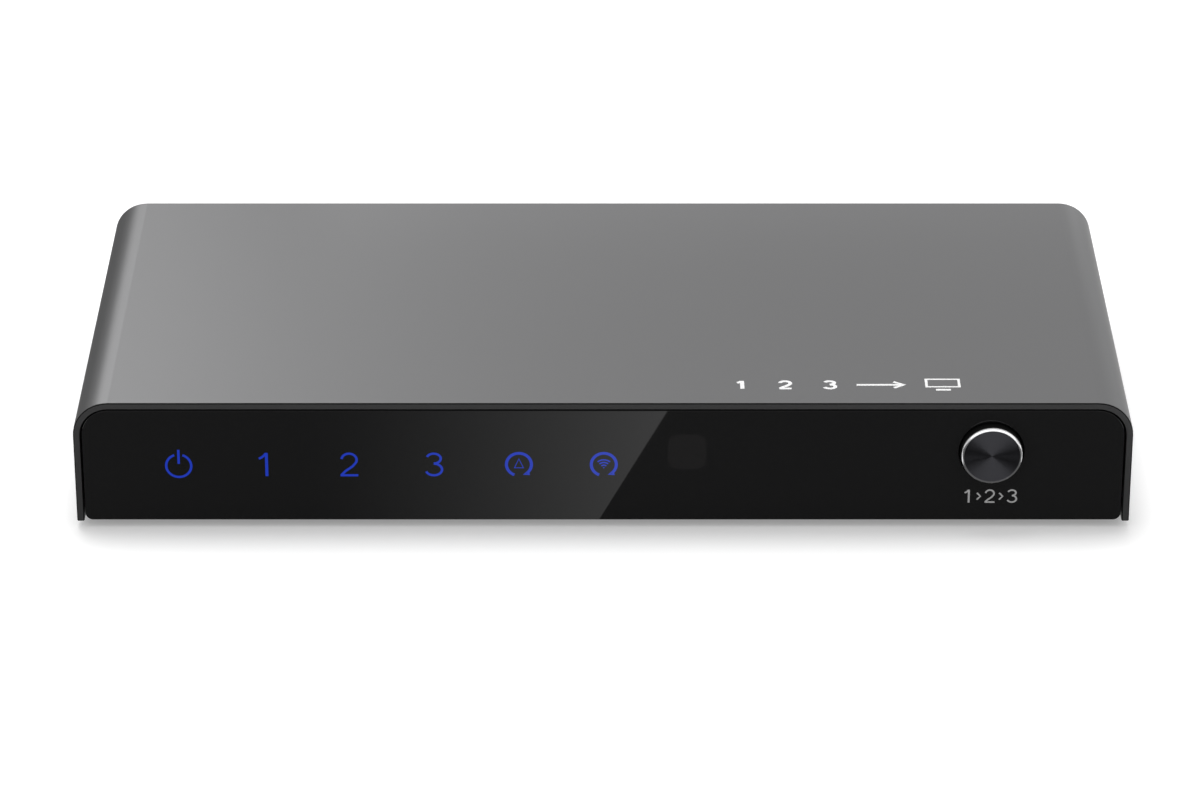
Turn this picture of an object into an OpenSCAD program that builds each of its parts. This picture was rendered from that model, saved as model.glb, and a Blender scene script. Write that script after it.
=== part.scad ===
// Three-input video switch box: a U-shaped aluminium cover over a flat base plate, a gloss front
// panel with lit symbols and a push button, and a row of sockets in a rear panel.
// Millimetres. +X runs to the right seen from the front, +Y to the back and +Z up.
// The origin lies on the surface that the feet stand on, under the middle of the box.

/* [Case] */
// Width of the cover over its side walls
body_w = 142; // [140:1:150]
// Depth of the cover from its front edge to its rear edge
body_d = 66; // [66:1:74]
// Height of the cover from the lower edge of its side walls to its top
body_h = 17.7; // [17.5:0.1:21]
// Thickness of the cover's walls
wall = 1; // [0.8:0.1:1.2]
// Outside radius of the cover's two long top edges
corner_r = 4.8; // [4:0.1:5.4]
// Height of the side walls above the surface that the feet stand on
foot_h = 1; // [1:0.1:2]
// Radius of a rubber foot
foot_r = 4.5; // [3.5:0.5:5]
// Thickness of the base plate and of the rear panel
plate_t = 1.2; // [1.1:0.1:1.4]

/* [Front panel] */
// Thickness of the front panel
panel_t = 2; // [1.8:0.1:2.2]
// Gap between the front panel and the cover around it
panel_gap = 0.15; // [0.15:0.05:0.3]
// Depth of the front panel behind the cover's front edge
panel_recess = 0.15; // [0.05:0.05:0.3]
// Number of lit symbols, each with a lamp behind it
symbol_count = 6; // [3:1:6]
// Distance between neighbouring symbols
symbol_pitch = 11.4; // [11:0.1:11.6]
// Place of the first symbol across the panel, from the middle
symbol_first_x = -56.8; // [-57.5:0.1:-56]
// Depth of the symbols' centres below the cover's top
symbol_drop = 9.2; // [9:0.1:9.4]
// Place of the remote control window across the panel, from the middle
window_x = 11.3; // [11:0.1:14]
// Depth of the window's centre below the cover's top
window_drop = 7.3; // [7.2:0.1:7.6]

/* [Select button] */
// Diameter of the button
button_d = 8.3; // [7.8:0.1:8.6]
// Place of the button across the panel, from the middle
button_x = 52.1; // [44:0.1:53]
// Depth of the button's centre below the cover's top
button_drop = 7.3; // [7.2:0.1:7.6]
// Distance that the button stands out of the front panel
button_proud = 1.4; // [1.2:0.1:1.8]
// Travel of the button when it is pressed
button_travel = 0.5; // [0.3:0.05:0.5]

/* [Sockets] */
// Distance between neighbouring video sockets
port_pitch = 22; // [20:0.5:22]
// Place of the output socket across the rear panel, from the middle
port_first_x = 26; // [24:0.5:26]
// Place of the power jack across the rear panel, from the middle
jack_x = 49; // [48:0.5:50]

/* [Hidden] */
$fn = 64;

// How far a cut runs past the face that it opens, and how far the parts of one solid lap
over = 1;
lap = 0.5;

// Heights
cover_bottom_z = foot_h;
cover_top_z = foot_h + body_h;
ceiling_z = cover_top_z - wall;
base_recess = 0.15;
base_z0 = cover_bottom_z + base_recess;
base_z1 = base_z0 + plate_t;
standoff_h = 2.85;
board_t = 1.6;
board_z0 = base_z1 + standoff_h;
board_z1 = board_z0 + board_t;
symbol_z = cover_top_z - symbol_drop;
window_z = cover_top_z - window_drop;
button_z = cover_top_z - button_drop;

// Planes from the front edge to the rear edge
front_y = -body_d / 2;
rear_y = body_d / 2;
panel_y0 = front_y + panel_recess;
panel_y1 = panel_y0 + panel_t;
tape_t = 0.2;
carrier_t = 2;
tunnel_reach = 2.2;
guide_reach = 1.6;
carrier_y0 = panel_y1 + tape_t;
carrier_y1 = carrier_y0 + carrier_t;
tunnel_y1 = carrier_y1 + tunnel_reach;
guide_y1 = carrier_y1 + guide_reach;
rear_panel_y0 = rear_y - plate_t;
board_front_gap = 8.5;
board_rear_gap = 1.2;
board_y0 = front_y + board_front_gap;
board_y1 = rear_panel_y0 - board_rear_gap;

// Case
inner_w = body_w - 2 * wall;
inner_r = corner_r - wall;
panel_w = inner_w - 2 * panel_gap;
panel_z1 = ceiling_z - panel_gap;
panel_r = inner_r - panel_gap;
panel_foot_r = 1;
hair_gap = 0.1;
ledge_w = 6;
ledge_h = 3.5;
ledge_front_gap = 7.5;
ledge_y0 = front_y + ledge_front_gap;
boss_r = 2.3;
boss_inset = 2.8;
boss_x = inner_w / 2 - boss_inset;
boss_z = ceiling_z - boss_inset;
ledge_screw_z = base_z1 + ledge_h / 2;
foot_inset = [13, 9];
foot_at = [body_w / 2 - foot_inset[0], body_d / 2 - foot_inset[1]];
foot_edge = 0.35;
tape_inset = 1.4;
tape_w = 1.3;
carrier_inset = 0.4;
lug = [7, 3.6, 3.6];
lug_pilot = 3;
film_margin = 4;
film_h = 6.4;

// Screws and standoffs
screw_r = 1;
pilot_r = screw_r + 0.05;
clear_r = screw_r + 0.25;
flat_head_r = 2.1;
pan_head_r = 2;
pan_head_h = 1.2;
pan_edge = 0.5;
recess = [2.6, 0.6];
recess_depth = 0.8;
pilot_depth = 7;
screw_short = 0.3;
base_screw_inset = [3.5, 11];
base_screw_at = [inner_w / 2 - base_screw_inset[0], body_d / 2 - base_screw_inset[1]];
carrier_screw_at = [40, carrier_y1 + lug[1] / 2];
rear_screw_at = [[boss_x, boss_z], [boss_x, ledge_screw_z]];
standoff_r = 2.6;
standoff_hole_r = 2;
standoff_shank_r = standoff_hole_r - 0.02;
standoff_thread = 0.4;

// Button and its switch
button_r = button_d / 2;
button_face_y = panel_y0 - button_proud;
button_edge = 0.42;
button_room = 0.25;
button_hole_r = button_r + button_room;
running_gap = 0.08;
guide_r = button_r + running_gap;
guide_wall = 1.2;
cap_wall = 1;
cap_face_t = 1.2;
cap_y1 = panel_y1 - hair_gap;
cap_pocket_r = button_r - cap_wall;
cap_pocket_y0 = button_face_y + cap_face_t;
stem_fit = 0.02;
stem_flange_t = 1;
stem_flange_r = guide_r + 0.7;
stem_nose_l = 0.8;
stem_flange_y0 = guide_y1 + hair_gap;
stem_flange_y1 = stem_flange_y0 + stem_flange_t;
stem_nose_y1 = stem_flange_y1 + stem_nose_l;
switch_size = 6;
switch_d = 3.6;
switch_room = 0.5;
switch_front_t = 0.6;
switch_back_t = 0.8;
switch_y0 = stem_nose_y1 + button_travel + switch_room;
switch_y1 = switch_y0 + switch_d;
switch_cavity_r = 2.4;
switch_cavity_y0 = switch_y0 + switch_front_t;
switch_cavity_y1 = switch_y1 - switch_back_t;
plunger_r = 1.6;
plunger_tip_r = 0.8;
collar_r = plunger_r + 0.4;
collar_t = 0.4;
collar_y0 = switch_cavity_y0 + hair_gap / 2;
dome_h = 0.8;
dome_t = 0.1;
dome_r = switch_cavity_r - hair_gap;
plunger_y1 = switch_cavity_y1 - dome_h - hair_gap / 2;
bracket_t = 0.4;
bracket_back_rise = 2;
bracket_side_rise = 1;
bracket_front_gap = 0.8;

// Lamps, window and remote control receiver
tunnel_open = [4.4, 5];
tunnel_wall = 0.8;
window_size = 5.2;
window_r = 1.4;
window_t = 0.6;
receiver_open = window_size + 0.3;
lamp_r = 1.5;
lamp_rim = 0.4;
lamp_rim_t = 0.8;
lamp_tip_y = carrier_y0 + 1.3;
lamp_base_y = tunnel_y1 + 0.3;
lead_t = 0.5;
lead_root = 0.2;
lead_pitch = 2.54;
lead_hole_r = 0.5;
lead_tail = 1;
lead_y = board_y0 + 2.2;
receiver_size = [6, 3.2, 6.6];
receiver_y0 = tunnel_y1 + hair_gap;
receiver_y1 = receiver_y0 + receiver_size[1];
receiver_lens_r = 2.1;
receiver_lens_reach = 1.2;
receiver_lead_drop = 2.6;

// Video sockets
socket_open = [14, 4.55];
socket_foot_w = 10.4;
socket_slant_h = 1.9;
socket_shell_t = 0.3;
socket_lip = 0.25;
socket_lip_t = 0.3;
socket_lift = 0.15;
socket_l = 10.4;
socket_proud = 1;
socket_y0 = rear_y - socket_l;
socket_y1 = rear_y + socket_proud;
socket_z = board_z1 + socket_lift + socket_shell_t;
socket_back_t = 0.3;
block_fit = 0.03;
block_l = 4;
tongue_w = 11.4;
tongue_t = 1;
tongue_z = socket_z + 1.85;
tongue_y0 = socket_y0 + block_l;
tongue_y1 = socket_y1 - 0.9;
contact_w = 0.3;
contact_t = 0.12;
contact_pitch = 1;
contact_short = 0.4;
contact_rows = [10, 9];
shell_leg = [socket_shell_t, 1.2];
shell_leg_x = socket_open[0] / 2 + socket_shell_t - shell_leg[0] / 2;
shell_leg_y = [socket_y0 + 1.5, socket_y0 + 7];
leg_room = 0.25;
port_x = [for (i = [0:3]) port_first_x - i * port_pitch];
panel_room = 0.25;
// The turns at the slanted lower corners set how far a grown corner moves
socket_slant = atan2((socket_open[0] - socket_foot_w) / 2, socket_slant_h);

// Power jack, whose nose stands out as far as the button does
jack_size = [9, 11.1, 9];
jack_y1 = rear_panel_y0 - hair_gap;
jack_y0 = jack_y1 - jack_size[1];
jack_z = board_z1 + jack_size[2] / 2;
jack_nose_r = 4;
jack_nose_y1 = rear_y + button_proud - panel_recess;
jack_bore_r = 3.15;
jack_back_t = 3;
jack_bore_y0 = jack_y0 + jack_back_t;
jack_pin_r = 1;
jack_root_r = 1.3;
jack_root_fit = 0.02;
jack_tip = 0.5;
jack_tip_y = rear_y - 0.6;
jack_leg = [2, 0.5];
jack_leg_y = [jack_y0 - jack_leg[1] / 2, jack_y0 + 6];
jack_floor_z = board_z1 + 0.4;
jack_slot_w = 2.4;
jack_slot_y1 = jack_y1 - 1;
spring_t = 0.3;
spring_bow = 0.9;
spring_y1 = jack_slot_y1 - 0.4;
spring_crest_y = spring_y1 - 3;
spring_end_y = spring_y1 - 5.2;

// Board and what is soldered to it
board_w = 124;
standoff_x = 58.5;
standoff_y = [board_y0 + 11, board_y1 - 7];
standoff_at = [for (x = [-standoff_x, standoff_x], y = standoff_y) [x, y]];
solder_gap = 0.1;
chip_lead_t = 0.15;
chip_at = [10, 4];
chip_size = [10, 10, 1.5];
chip_lead = [0.22, 1, 0.8];
chip_lead_pitch = 0.5;
chip_lead_count = 16;
controller_at = [-30, -8];
controller_size = [6.5, 4.4, 1.1];
controller_lead = [0.25, 1, 0.6];
controller_lead_pitch = 0.65;
controller_lead_count = 10;
crystal_at = [-16, -10];
crystal_size = [6.4, 4.4, 3.4];
crystal_base = [10, 4, 0.4];
crystal_lift = 0.3;
coil_at = [36, -2];
coil_size = [6, 6, 2.8];
coil_dimple_r = 2.1;
coil_dimple_depth = 0.4;
regulator_at = [[48, 8], [24, -12]];
regulator_size = [6.5, 3.5, 1.7];
regulator_tab_w = 3;
regulator_lead_w = 0.7;
regulator_lead_pitch = 2.3;
regulator_lead_t = 0.3;
regulator_reach = 3.4;
can_at = [[40, 10], [30, 6]];
can_base = [5.3, 5.3, 0.8];
can_r = 2.5;
can_h = 5.4;
part_size = [1.6, 0.8];
capacitor_h = 0.8;
capacitor_gap = [9, 2];
capacitor_row = 5;
filter_pitch = 3;
filter_gap = 5;
resistor_h = 0.45;
resistor_gap = [2.5, 6];
resistor_row = 5;
lamp_resistor_gap = 3;
array_size = [2.5, 1.3, 0.6];
array_spread = 3;
array_gap = 2;

// Shapes that many pieces share

// The two ends of a length about its middle
function around(middle, size) = [middle - size / 2, middle + size / 2];

// The place of a symbol across the panel
function symbol_x(i) = symbol_first_x + i * symbol_pitch;

// A flat outline in X and Z made solid from y0 to y1
module along_y(y0, y1) {
    translate([0, y1, 0]) rotate([90, 0, 0]) linear_extrude(y1 - y0) children();
}

// A box between two places along each axis
module block(x, y, z) {
    translate([x[0], y[0], z[0]]) cube([x[1] - x[0], y[1] - y[0], z[1] - z[0]]);
}

// A box with its middle at x
module slab(x, w, y, z) {
    block(around(x, w), y, z);
}

// A box of a given size standing on the board, lifted off it by a gap
module on_board(at, size, lift = 0) {
    slab(at[0], size[0], around(at[1], size[1]), [board_z1 + lift, board_z1 + size[2]]);
}

// A round bar along Y
module rod_y(x, z, r, y0, y1) {
    translate([x, y0, z]) rotate([-90, 0, 0]) cylinder(r = r, h = y1 - y0);
}

// A round bar along Z
module rod_z(at, r, z0, z1) {
    translate([at[0], at[1], z0]) cylinder(r = r, h = z1 - z0);
}

// An outline of radius and depth turned about an axis along Y
module turned_y(x, z) {
    translate([x, 0, z]) rotate([-90, 0, 0]) rotate_extrude() children();
}

// A rectangle standing on z0 with two round top corners and two smaller round lower corners
module arch(w, z0, z1, r_top, r_foot = 0) {
    translate([-w / 2, z0 + r_foot]) square([w, z1 - z0 - r_top - r_foot]);
    translate([-w / 2 + r_top, z1 - r_top]) square([w - 2 * r_top, r_top]);
    for (side = [-1, 1]) translate([side * (w / 2 - r_top), z1 - r_top]) circle(r_top);
    if (r_foot > 0) {
        translate([-w / 2 + r_foot, z0]) square([w - 2 * r_foot, r_foot]);
        for (side = [-1, 1]) translate([side * (w / 2 - r_foot), z0 + r_foot]) circle(r_foot);
    }
}

// The outline of the front panel and rear panel, drawn in by inset
module panel_outline(inset = 0) {
    arch(panel_w - 2 * inset, base_z0 + inset, panel_z1 - inset, panel_r - inset, panel_foot_r);
}

// The same piece left and right, or at four corners
module two_sides() {
    children();
    mirror([1, 0, 0]) children();
}

module four_corners(at) {
    for (x = [-at[0], at[0]], y = [-at[1], at[1]]) translate([x, y, 0]) children();
}

// The cross recess of a screw, cut from the top of a head at z = 0 down into it
module cross_recess(depth) {
    for (turn = [0, 90]) rotate(turn)
        translate([-recess[0] / 2, -recess[1] / 2, -depth]) cube([recess[0], recess[1], depth + over]);
}

// A countersunk screw: its flat head at z = 0, its shank up along +Z
module flat_screw(length) {
    difference() {
        union() {
            cylinder(r1 = flat_head_r, r2 = screw_r, h = flat_head_r - screw_r);
            cylinder(r = screw_r, h = length);
        }
        mirror([0, 0, 1]) cross_recess(recess_depth);
    }
}

// The room that a countersunk screw takes in a plate
module flat_screw_hole(depth) {
    translate([0, 0, -over]) cylinder(r = flat_head_r + hair_gap, h = over);
    cylinder(r1 = flat_head_r + hair_gap, r2 = screw_r + hair_gap, h = flat_head_r - screw_r);
    cylinder(r = clear_r, h = depth);
}

// A pan-head screw: the underside of its head at z = 0, its shank down along -Z
module pan_screw(length) {
    difference() {
        union() {
            rotate_extrude() polygon([
                [0, 0], [pan_head_r, 0], [pan_head_r, pan_head_h - pan_edge],
                [pan_head_r - pan_edge, pan_head_h], [0, pan_head_h]
            ]);
            translate([0, 0, -length]) cylinder(r = screw_r, h = length + pan_head_h / 4);
        }
        translate([0, 0, pan_head_h]) cross_recess(recess_depth);
    }
}

// Case

// The cover: a U-shaped aluminium extrusion, with a ledge along the foot of each side wall for the
// base plate's screws and a round channel in each top corner for the rear panel's screws
module top_cover() {
    color([0.5, 0.5, 0.51]) difference() {
        union() {
            along_y(front_y, rear_y) difference() {
                arch(body_w, cover_bottom_z, cover_top_z, corner_r);
                arch(inner_w, cover_bottom_z - over, ceiling_z, inner_r);
            }
            two_sides() {
                block([inner_w / 2 - ledge_w, inner_w / 2 + wall / 2], [ledge_y0, rear_panel_y0],
                      [base_z1, base_z1 + ledge_h]);
                block([boss_x, inner_w / 2 + wall / 2], [ledge_y0, rear_panel_y0],
                      [boss_z - boss_r, boss_z]);
                block([boss_x - boss_r, boss_x], [ledge_y0, rear_panel_y0],
                      [boss_z, ceiling_z + wall / 2]);
                rod_y(boss_x, boss_z, boss_r, ledge_y0, rear_panel_y0);
                intersection() {
                    block([boss_x, inner_w / 2 + wall / 2], [ledge_y0, rear_panel_y0],
                          [boss_z, ceiling_z + wall / 2]);
                    along_y(ledge_y0, rear_panel_y0)
                        arch(body_w - wall, cover_bottom_z, cover_top_z - wall / 2, corner_r - wall / 2);
                }
            }
        }
        four_corners(base_screw_at) rod_z([0, 0], pilot_r, base_z1 - over, base_z1 + ledge_h + over);
        two_sides() for (at = rear_screw_at)
            rod_y(at[0], at[1], pilot_r, rear_panel_y0 - pilot_depth, rear_panel_y0 + over);
    }
}

// The base plate: black sheet steel between the cover's side walls, under its ledges
module base_plate() {
    color([0.1, 0.1, 0.105]) difference() {
        slab(0, panel_w, [panel_y1 + hair_gap, rear_panel_y0 - hair_gap], [base_z0, base_z1]);
        four_corners(base_screw_at) translate([0, 0, base_z0]) flat_screw_hole(plate_t + over);
        two_sides() translate([carrier_screw_at[0], carrier_screw_at[1], base_z0])
            flat_screw_hole(plate_t + over);
        for (at = standoff_at) rod_z(at, standoff_hole_r, base_z0 - over, base_z1 + over);
    }
}

// Four stick-on rubber feet under the base plate
module rubber_feet() {
    color([0.05, 0.05, 0.05]) four_corners(foot_at) rotate_extrude() polygon([
        [0, 0], [foot_r - foot_edge, 0], [foot_r, foot_edge], [foot_r, base_z0], [0, base_z0]
    ]);
}

// The rear panel: a black aluminium plate with a cut-out for each socket
module rear_panel() {
    color([0.09, 0.09, 0.095]) difference() {
        along_y(rear_panel_y0, rear_y) panel_outline();
        for (x = port_x) translate([x, 0, 0]) along_y(rear_panel_y0 - over, rear_y + over)
            translate([0, socket_z]) polygon(socket_outline(socket_shell_t + panel_room));
        rod_y(jack_x, jack_z, jack_nose_r + panel_room, rear_panel_y0 - over, rear_y + over);
        two_sides() for (at = rear_screw_at)
            rod_y(at[0], at[1], clear_r, rear_panel_y0 - over, rear_y + over);
    }
}

// The front panel: gloss black acrylic with a hole for the button
module front_panel() {
    color([0.03, 0.03, 0.032]) difference() {
        along_y(panel_y0, panel_y1) panel_outline();
        rod_y(button_x, button_z, button_hole_r, panel_y0 - over, panel_y1 + over);
    }
}

// A die-cut ring of adhesive tape between the front panel and its carrier
module panel_tape() {
    inner = tape_inset + tape_w;
    color([0.85, 0.83, 0.78]) along_y(panel_y1, carrier_y0) difference() {
        panel_outline(tape_inset);
        arch(panel_w - 2 * inner, base_z0 + inner, panel_z1 - inner, panel_r - tape_inset);
        translate([button_x, button_z]) circle(button_hole_r + hair_gap);
    }
}

// The carrier: a moulded frame behind the front panel, with a light tunnel for each lamp, a tunnel for
// the remote control receiver, a guide for the button and two lugs that are screwed to the base plate
module front_carrier() {
    tunnel_y = [carrier_y1 - lap, tunnel_y1];
    cut_y = [carrier_y0 - over, tunnel_y1 + over];
    color([0.13, 0.13, 0.13]) difference() {
        union() {
            along_y(carrier_y0, carrier_y1)
                arch(panel_w - 2 * carrier_inset, base_z1 + 2 * hair_gap, panel_z1 - carrier_inset,
                     panel_r - carrier_inset);
            for (i = [0:symbol_count - 1])
                slab(symbol_x(i), tunnel_open[0] + 2 * tunnel_wall, tunnel_y,
                     around(symbol_z, tunnel_open[1] + 2 * tunnel_wall));
            slab(window_x, receiver_open + 2 * tunnel_wall, tunnel_y,
                 around(window_z, receiver_open + 2 * tunnel_wall));
            rod_y(button_x, button_z, guide_r + guide_wall, carrier_y1 - lap, guide_y1);
            two_sides() slab(carrier_screw_at[0], lug[0], [carrier_y1 - lap, carrier_y1 + lug[1]],
                             [base_z1, base_z1 + lug[2]]);
        }
        for (i = [0:symbol_count - 1])
            slab(symbol_x(i), tunnel_open[0], cut_y, around(symbol_z, tunnel_open[1]));
        slab(window_x, receiver_open, cut_y, around(window_z, receiver_open));
        rod_y(button_x, button_z, guide_r, carrier_y0 - over, guide_y1 + over);
        two_sides() rod_z(carrier_screw_at, pilot_r, base_z1 - over, base_z1 + lug_pilot);
    }
}

// A strip of milky film behind the symbols, which spreads the lamps' light
module diffuser_strip() {
    color([0.9, 0.92, 0.95])
        block([symbol_x(0) - film_margin, symbol_x(symbol_count - 1) + film_margin],
              [panel_y1, panel_y1 + tape_t], around(symbol_z, film_h));
}

// A small smoked window that passes the remote control's infrared light
module remote_window() {
    corner = window_size / 2 - window_r;
    color([0.12, 0.05, 0.07]) translate([window_x, 0, window_z]) along_y(panel_y1, panel_y1 + window_t) {
        square([window_size, 2 * corner], center = true);
        square([2 * corner, window_size], center = true);
        for (x = [-corner, corner], z = [-corner, corner]) translate([x, z]) circle(window_r);
    }
}

// Screws and standoffs

// Four countersunk screws that hold the base plate to the cover's ledges
module base_screws() {
    color([0.25, 0.25, 0.26]) four_corners(base_screw_at) translate([0, 0, base_z0])
        flat_screw(plate_t + ledge_h - screw_short);
}

// Two countersunk screws that hold the carrier's lugs to the base plate
module carrier_screws() {
    color([0.25, 0.25, 0.26]) two_sides()
        translate([carrier_screw_at[0], carrier_screw_at[1], base_z0])
            flat_screw(plate_t + lug_pilot - screw_short);
}

// Four pan-head screws that hold the rear panel to the cover
module rear_screws() {
    color([0.2, 0.2, 0.21]) two_sides() for (at = rear_screw_at)
        translate([at[0], rear_y, at[1]]) rotate([-90, 0, 0])
            pan_screw(plate_t + pilot_depth - screw_short);
}

// Four pan-head screws that hold the board to its standoffs
module board_screws() {
    color([0.75, 0.75, 0.72]) for (at = standoff_at)
        translate([at[0], at[1], board_z1]) pan_screw(board_t + standoff_h - screw_short);
}

// Four tapped standoffs pressed into the base plate
module standoffs() {
    color([0.72, 0.7, 0.62]) for (at = standoff_at) difference() {
        union() {
            rod_z(at, standoff_shank_r, base_z0, base_z1);
            rod_z(at, standoff_r, base_z1, board_z0);
        }
        rod_z(at, pilot_r, base_z1 - standoff_thread, board_z0 + over);
    }
}

// Button and its switch

// The button's turned aluminium cap, with a bright bevel round its face
module button_cap() {
    color([0.2, 0.2, 0.22]) turned_y(button_x, button_z) polygon([
        [0, button_face_y], [button_r - button_edge, button_face_y],
        [button_r, button_face_y + button_edge], [button_r, cap_y1],
        [cap_pocket_r, cap_y1], [cap_pocket_r, cap_pocket_y0], [0, cap_pocket_y0]
    ]);
}

// The moulded stem in the cap: its flange stops behind the carrier's guide and its nose meets the switch
module button_stem() {
    color([0.08, 0.08, 0.08]) turned_y(button_x, button_z) polygon([
        [0, cap_pocket_y0 + stem_fit], [cap_pocket_r - stem_fit, cap_pocket_y0 + stem_fit],
        [cap_pocket_r - stem_fit, stem_flange_y0], [stem_flange_r, stem_flange_y0],
        [stem_flange_r, stem_flange_y1], [plunger_r, stem_flange_y1],
        [plunger_r, stem_nose_y1], [0, stem_nose_y1]
    ]);
}

// The switch's plunger, with a collar that keeps it in the housing
module switch_plunger() {
    color([0.3, 0.3, 0.3]) turned_y(button_x, button_z) polygon([
        [0, stem_nose_y1], [plunger_r, stem_nose_y1], [plunger_r, collar_y0], [collar_r, collar_y0],
        [collar_r, collar_y0 + collar_t], [plunger_tip_r, collar_y0 + collar_t],
        [plunger_tip_r, plunger_y1], [0, plunger_y1]
    ]);
}

// The snap dome that gives the click and pushes the plunger back
module switch_dome() {
    sphere_r = (dome_r * dome_r + dome_h * dome_h) / (2 * dome_h);
    crown_y = switch_cavity_y1 - dome_h;
    color([0.8, 0.78, 0.7]) intersection() {
        rod_y(button_x, button_z, dome_r, crown_y - hair_gap, switch_cavity_y1);
        translate([button_x, crown_y + sphere_r, button_z]) difference() {
            sphere(sphere_r);
            sphere(sphere_r - dome_t);
        }
    }
}

// The switch's housing, with a bore for the plunger and a round cavity for the dome
module switch_housing() {
    color([0.07, 0.07, 0.07]) difference() {
        slab(button_x, switch_size, [switch_y0, switch_y1], around(button_z, switch_size));
        rod_y(button_x, button_z, plunger_r + running_gap, switch_y0 - over, switch_cavity_y0 + hair_gap);
        rod_y(button_x, button_z, switch_cavity_r, switch_cavity_y0, switch_cavity_y1);
    }
}

// A bent steel bracket that carries the switch above the board
module switch_bracket() {
    low_z = button_z - switch_size / 2;
    half_w = switch_size / 2 + bracket_t;
    front = switch_y0 + bracket_front_gap;
    back = switch_y1 + bracket_t;
    color([0.7, 0.7, 0.68]) {
        slab(button_x, 2 * half_w, [switch_y1, back], [board_z1, button_z + bracket_back_rise]);
        for (side = [-1, 1])
            slab(button_x + side * (half_w - bracket_t / 2), bracket_t, [front, back],
                 [board_z1, button_z + bracket_side_rise]);
        slab(button_x, 2 * half_w, [front, switch_y1], [low_z - bracket_t, low_z]);
    }
}

// Lamps and remote control receiver

// One bent wire from a lamp or receiver, back over the board and down through it
module bent_lead(x, y0, z) {
    slab(x, lead_t, [y0, lead_y + lead_t / 2], around(z, lead_t));
    slab(x, lead_t, around(lead_y, lead_t), [board_z0 - lead_tail, z + lead_t / 2]);
}

// The blue indicator lamps, one behind each symbol
module indicator_lamps() {
    rim_y1 = lamp_base_y + lamp_rim_t;
    color([0.25, 0.4, 0.95]) for (i = [0:symbol_count - 1]) {
        x = symbol_x(i);
        rod_y(x, symbol_z, lamp_r, lamp_tip_y + lamp_r, lamp_base_y);
        translate([x, lamp_tip_y + lamp_r, symbol_z]) sphere(lamp_r);
        rod_y(x, symbol_z, lamp_r + lamp_rim, lamp_base_y, rim_y1);
        for (side = [-1, 1]) bent_lead(x + side * lead_pitch / 2, rim_y1 - lead_root, symbol_z);
    }
}

// The infrared receiver behind the smoked window
module remote_receiver() {
    lens_y = receiver_y0 - receiver_lens_reach;
    color([0.06, 0.05, 0.06]) {
        slab(window_x, receiver_size[0], [receiver_y0, receiver_y1], around(window_z, receiver_size[2]));
        rod_y(window_x, window_z, receiver_lens_r, lens_y, receiver_y0 + lap);
        translate([window_x, lens_y, window_z]) sphere(receiver_lens_r);
        for (step = [-1:1])
            bent_lead(window_x + step * lead_pitch, receiver_y1 - lead_root, window_z - receiver_lead_drop);
    }
}

// Board

// The holes that the leads of the lamps and the receiver go through
module lead_holes() {
    for (i = [0:symbol_count - 1], side = [-1, 1])
        rod_z([symbol_x(i) + side * lead_pitch / 2, lead_y], lead_hole_r, board_z0 - over, board_z1 + over);
    for (step = [-1:1])
        rod_z([window_x + step * lead_pitch, lead_y], lead_hole_r, board_z0 - over, board_z1 + over);
}

// The slots that the legs of the socket shells and the power jack go through
module leg_slots() {
    cut_z = [board_z0 - over, board_z1 + over];
    for (x = port_x, side = [-1, 1], y = shell_leg_y)
        slab(x + side * shell_leg_x, shell_leg[0] + 2 * leg_room,
             around(y, shell_leg[1] + 2 * leg_room), cut_z);
    for (y = jack_leg_y)
        slab(jack_x, jack_leg[0] + 2 * leg_room, around(y, jack_leg[1] + 2 * leg_room), cut_z);
}

// The printed circuit board
module main_board() {
    color([0.05, 0.25, 0.12]) difference() {
        slab(0, board_w, [board_y0, board_y1], [board_z0, board_z1]);
        for (at = standoff_at) rod_z(at, clear_r, board_z0 - over, board_z1 + over);
        lead_holes();
        leg_slots();
    }
}

// Sockets

// The right half of a video socket's opening, its lower edge at z = 0, grown by grow all round
function socket_half(grow) = [
    [socket_open[0] / 2 + grow, socket_open[1] + grow],
    [socket_open[0] / 2 + grow, socket_slant_h - grow * tan(socket_slant / 2)],
    [socket_foot_w / 2 + grow * tan((90 - socket_slant) / 2), -grow]
];

// The whole outline, with the left half taken from the right one in reverse order
function socket_outline(grow) = concat(
    socket_half(grow), [for (i = [2:-1:0]) [-socket_half(grow)[i][0], socket_half(grow)[i][1]]]
);

// The steel shell of one video socket: a tube closed at the back, a lip round its mouth and four legs
module socket_shell(x) {
    color([0.74, 0.74, 0.75]) translate([x, 0, 0]) {
        difference() {
            union() {
                along_y(socket_y0, socket_y1)
                    translate([0, socket_z]) polygon(socket_outline(socket_shell_t));
                along_y(socket_y1 - socket_lip_t, socket_y1)
                    translate([0, socket_z]) polygon(socket_outline(socket_shell_t + socket_lip));
            }
            along_y(socket_y0 + socket_back_t, socket_y1 + over)
                translate([0, socket_z]) polygon(socket_outline(0));
        }
        for (side = [-1, 1], y = shell_leg_y)
            slab(side * shell_leg_x, shell_leg[0], around(y, shell_leg[1]),
                 [board_z0 - lead_tail, socket_z + socket_slant_h]);
    }
}

// The black insulating blocks that fill the back of each video socket's shell
module socket_blocks() {
    color([0.06, 0.06, 0.06]) for (x = port_x) translate([x, 0, 0])
        along_y(socket_y0 + socket_back_t + block_fit, tongue_y0)
            translate([0, socket_z]) polygon(socket_outline(-block_fit));
}

// The moulded tongues that stand out of the blocks and carry the contacts
module socket_tongues() {
    color([0.06, 0.06, 0.06]) for (x = port_x)
        slab(x, tongue_w, [tongue_y0, tongue_y1], around(tongue_z, tongue_t));
}

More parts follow.
